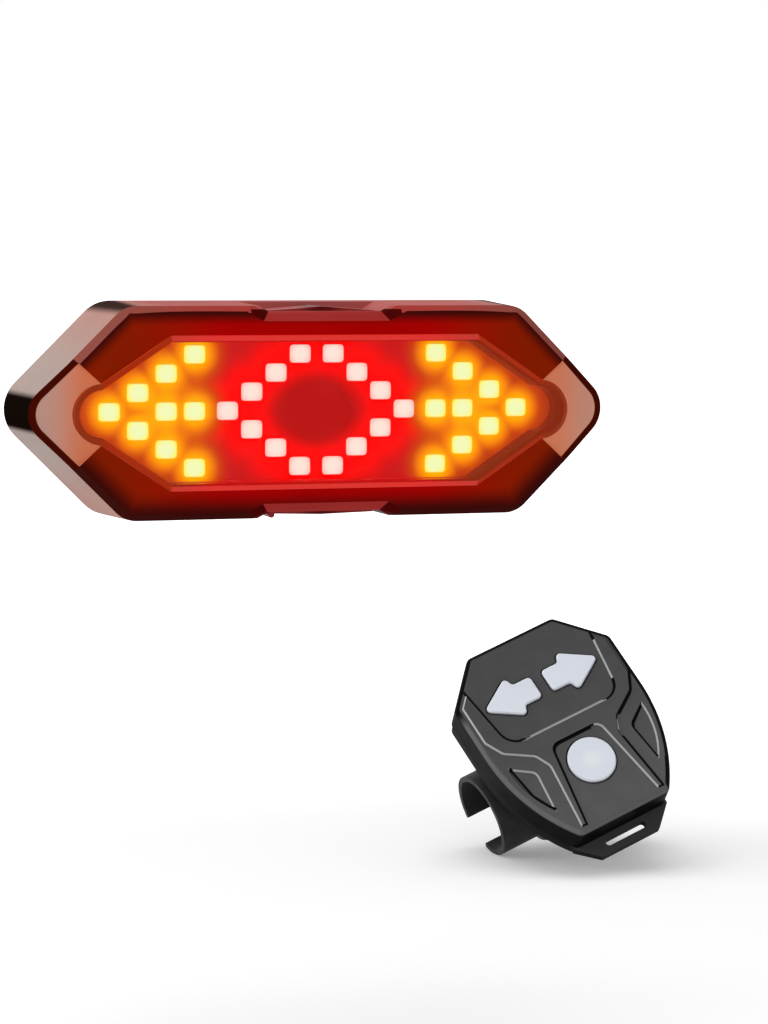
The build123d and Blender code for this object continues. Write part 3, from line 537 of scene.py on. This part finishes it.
line_group, given, put_out = new_group(
    "distance_to_line",
    [("Place", "NodeSocketVector", None), ("Start", "NodeSocketVector", None),
     ("End", "NodeSocketVector", None)],
    [("Distance", "NodeSocketFloat")])
flat = vectors(line_group, "MULTIPLY", given["Place"], (1, 1, 0))
offset = vectors(line_group, "SUBTRACT", flat, given["Start"])
run = vectors(line_group, "SUBTRACT", given["End"], given["Start"])
line_group.links.new(distance_from_steps(line_group, offset, run, 1.0, False), put_out["Distance"])


def distance_to_lines(tree, place, chains):
    """How far a point of the remote's face is from chains of points, given in millimetres."""
    nearest = None
    for chain in chains:
        for start, end in zip(chain, chain[1:]):
            line = add_node(tree, "Group", node_tree=line_group)
            tree.links.new(place, line.inputs["Place"])
            line.inputs["Start"].default_value = (start[0] / 1000, start[1] / 1000, 0)
            line.inputs["End"].default_value = (end[0] / 1000, end[1] / 1000, 0)
            distance = line.outputs["Distance"]
            nearest = distance if nearest is None else maths(tree, "MINIMUM", nearest, distance)
    return nearest


remote_plastic, tree, shader, place = new_material("remote_plastic", Specular_IOR_Level=0.02)
on_remote = on_remote_axes(tree, place)
axes = axes_of(tree, on_remote)
depth = axes[2]
mottle = grained(tree, shader, place, 3200.0, 0.00003, 0.44, 0.04)
to_bottom = fade(tree, axes[1], -0.020, -0.064)
face = mixed(tree, to_bottom, colour(0.074, 0.074, 0.075), colour(0.102, 0.102, 0.103))
face = mottled(tree, mottle, 0.10, face, colour(0.02, 0.02, 0.02))

# A dark line round each key. An arrow key is its core, grown by its corner radius.
arrow_core = [[(17.31, 0.0), (9.52, 4.81), (8.64, 2.4), (3.1, 2.4), (3.1, 0.0)]]
on_half_arrow = folded(tree, vectors(tree, "SUBTRACT", on_remote, (0, arrow_key_y, 0)))
to_arrow_key = maths(tree, "SUBTRACT", distance_to_lines(tree, on_half_arrow, arrow_core), key_corner)
to_round_key = maths(tree, "SUBTRACT", from_round_key(tree, on_remote), round_key_radius)
to_key = maths(tree, "MINIMUM", to_arrow_key, to_round_key)
face = mixed(tree, fade(tree, to_key, 0.00055, 0.00040), face, colour(0.002, 0.002, 0.002))

# Painted shade on the slopes that face away from the light, darker than they
# come out by themselves: the feet of those at the left of the arrow panel, at
# the left and top of the key panel, at the band's right edge and in the
# recesses, and the slopes themselves at the arrow panel's right corners.
dark_feet = [
    [(-21.6, -8.5), (-19.15, -25.7), (-18.5, -27.5), (-17.3, -28.95), (-15.7, -29.9), (-13.6, -30.2)],
    [(-12.1, -61.3), (-8.25, -38.0), (-7.4, -36.6), (-5.8, -36.0), (5.1, -36.0)],
    [(26.0, -17.0), (25.5, -25.3), (22.5, -31.0), (21.4, -32.1), (15.2, -36.1)],
    [(12.2, -43.0), (14.1, -61.3)],
    [(-22.3, -36.4), (-20.8, -46.6), (-17.5, -53.0)],
    [(22.2, -36.9), (17.2, -40.6), (16.6, -42.0), (17.8, -52.6)]]
dark_corners = [
    [(14.4, -30.6), (15.3, -30.4), (16.2, -30.1), (17.1, -29.6), (18.2, -28.6), (19.0, -27.3), (19.4, -25.9)],
    [(22.1, -7.2), (21.4, -12.0)]]
# Painted highlights along a few feet of slopes that face the light.
bright_feet = [[(-11.5, -30.25), (13.0, -30.25)], [(13.3, -37.6), (12.2, -40.2)]]
below_band = fade(tree, depth, 0.0004, 0.0002)
near_dark_foot = fade(tree, distance_to_lines(tree, on_remote, dark_feet), 0.00050, 0.00030)
in_dark_corner = fade(tree, distance_to_lines(tree, on_remote, dark_corners), 0.00045, 0.00030)
near_dark = maths(tree, "MAXIMUM", overlap(tree, near_dark_foot, below_band), in_dark_corner)
painted_highlight_lines = fade(tree, distance_to_lines(tree, on_remote, bright_feet), 0.00035, 0.00020)
painted_highlight_lines = overlap(tree, painted_highlight_lines, below_band)

# Painted highlight and shade on the slopes and the rounded edge, by the way that they face the light at the
# left: pale or black slopes, a lighter lower-left edge, and black edges facing right and along the top.
flatness = facing_share(tree, (0.0, 0.0, 1.0))
steepness = maths(tree, "ABSOLUTE", maths(tree, "SUBTRACT", flatness, slope_flatness))
on_slope = overlap(tree, fade(tree, steepness, 0.03, 0.02), fade(tree, depth, -0.00066, -0.00062))
to_left = fade(tree, facing_share(tree, (-0.98, 0.20, 0.0)), -0.02, 0.10)
slope_highlight_and_shade = mixed(tree, to_left, colour(0.002, 0.002, 0.002), colour(0.42, 0.42, 0.42))
to_lower_left = facing_share(tree, (-0.85, -0.53, 0.0))
edge_highlight_and_shade = mixed(tree, fade(tree, to_lower_left, 0.10, 0.50), face, colour(0.13, 0.13, 0.13))
at_top_edge = overlap(tree, fade(tree, flatness, 0.995, 0.95), fade(tree, axes[1], -0.020, -0.014))
shaded_edge = maths(tree, "MAXIMUM", fade(tree, to_lower_left, -0.02, -0.14), at_top_edge)
edge_highlight_and_shade = mixed(tree, shaded_edge, edge_highlight_and_shade, colour(0.003, 0.003, 0.003))
face = mixed(tree, on_slope, edge_highlight_and_shade, slope_highlight_and_shade)
face = mixed(tree, near_dark, face, colour(0.003, 0.003, 0.003))
face = mixed(tree, painted_highlight_lines, face, colour(0.30, 0.30, 0.30))

# Painted shade on the side walls, a little lighter on the base under the parting line, and the face of the
# ear.
on_base = fade(tree, depth, parting_z + 0.0002, parting_z - 0.0004)
painted_wall_tone = mixed(tree, on_base, colour(0.003, 0.003, 0.0032), colour(0.010, 0.010, 0.011))
face = mixed(tree, fade(tree, depth, -0.0008, -0.0016), face, painted_wall_tone)
on_ear = overlap(tree, fade(tree, depth, -0.0060, -0.0070), fade(tree, flatness, 0.97, 0.99))
tree.links.new(mixed(tree, on_ear, face, colour(0.046, 0.046, 0.047)), shader["Base Color"])
dress(remote_plastic, "remote_top_shell", "remote_base")


# Remote's keys: translucent silicone, pale lavender grey, each with a flange
# that holds it under the top shell. The round one is lightest in the middle.
key_plastic, tree, shader, place = new_material("key_plastic", Specular_IOR_Level=0.4)
from_middle = from_round_key(tree, on_remote_axes(tree, place))
mottle = grained(tree, shader, place, 900.0, 0.00001, 0.38, 0.05)
pale = mixed(tree, mottle, colour(0.70, 0.73, 0.80), colour(0.67, 0.70, 0.77))
pale = mixed(tree, fade(tree, from_middle, 0.0040, 0.0008), pale, colour(0.76, 0.78, 0.81))
tree.links.new(pale, shader["Base Color"])
dress(key_plastic, "left_arrow_key", "right_arrow_key", "round_key")


# Studio: a pale floor at the object's lowest point that fades into a white
# world, one broad lamp at the left, one above and one in front. None of it
# is part of the object.
floor_z = cad_box[0][2]
lamp_size = 0.9


def background_rays(tree):
    """1 for the rays that meet the background: from the camera, off metal or through glass."""
    ray = tree.nodes.new("ShaderNodeLightPath").outputs
    seen = maths(tree, "MAXIMUM", ray["Is Camera Ray"], ray["Is Glossy Ray"])
    return maths(tree, "MAXIMUM", seen, ray["Is Transmission Ray"])


mesh = bmesh.new()
bmesh.ops.create_grid(mesh, x_segments=4, y_segments=4, size=6.0)
bmesh.ops.translate(mesh, verts=mesh.verts, vec=(0, 0, floor_z))
floor_mesh = bpy.data.meshes.new("floor")
mesh.to_mesh(floor_mesh)
mesh.free()
floor = bpy.data.objects.new("floor", floor_mesh)
bpy.context.scene.collection.objects.link(floor)
floor_paint, tree, shader, place = new_material("floor_paint", Roughness=0.9, Specular_IOR_Level=0.1)
shader["Base Color"].default_value = colour(0.88, 0.88, 0.88)
shader["Emission Color"].default_value = colour(1.0, 1.0, 1.0)
from_object = length(tree, vectors(tree, "SUBTRACT", place, (0.06, 0.08, floor_z)))
whiteness = maths(tree, "MULTIPLY", fade(tree, from_object, 0.12, 0.45), 0.8)
whiteness = maths(tree, "ADD", whiteness, 0.2)
tree.links.new(maths(tree, "MULTIPLY", background_rays(tree), whiteness), shader["Emission Strength"])
floor.data.materials.append(floor_paint)

world = bpy.data.worlds.new("studio")
world.use_nodes = True
bpy.context.scene.world = world
tree = world.node_tree
background = tree.nodes["Background"].inputs
background["Color"].default_value = colour(1.0, 1.0, 1.0)
strength = add_node(tree, "MapRange", {"Value": background_rays(tree), "To Min": 0.45, "To Max": 1.0})
tree.links.new(strength.outputs["Result"], background["Strength"])

for name, spot, aim, energy in (
        ("left_lamp", (-1.0, 0.10, 0.10), (0.08, 0.08, -0.07), 6.0),
        ("top_lamp", (-0.1, 0.1, 1.0), (0.05, 0.05, -0.05), 5.0),
        ("front_lamp", (-0.3, -1.2, 0.5), (0.05, 0.05, -0.05), 4.0)):
    lamp = bpy.data.objects.new(name, bpy.data.lights.new(name, "AREA"))
    lamp.data.size = lamp_size
    lamp.data.energy = energy
    lamp.location = spot
    lamp.rotation_euler = (Vector(aim) - Vector(spot)).to_track_quat("-Z", "Y").to_euler()
    bpy.context.scene.collection.objects.link(lamp)
bpy.context.scene.view_settings.view_transform = "Standard"
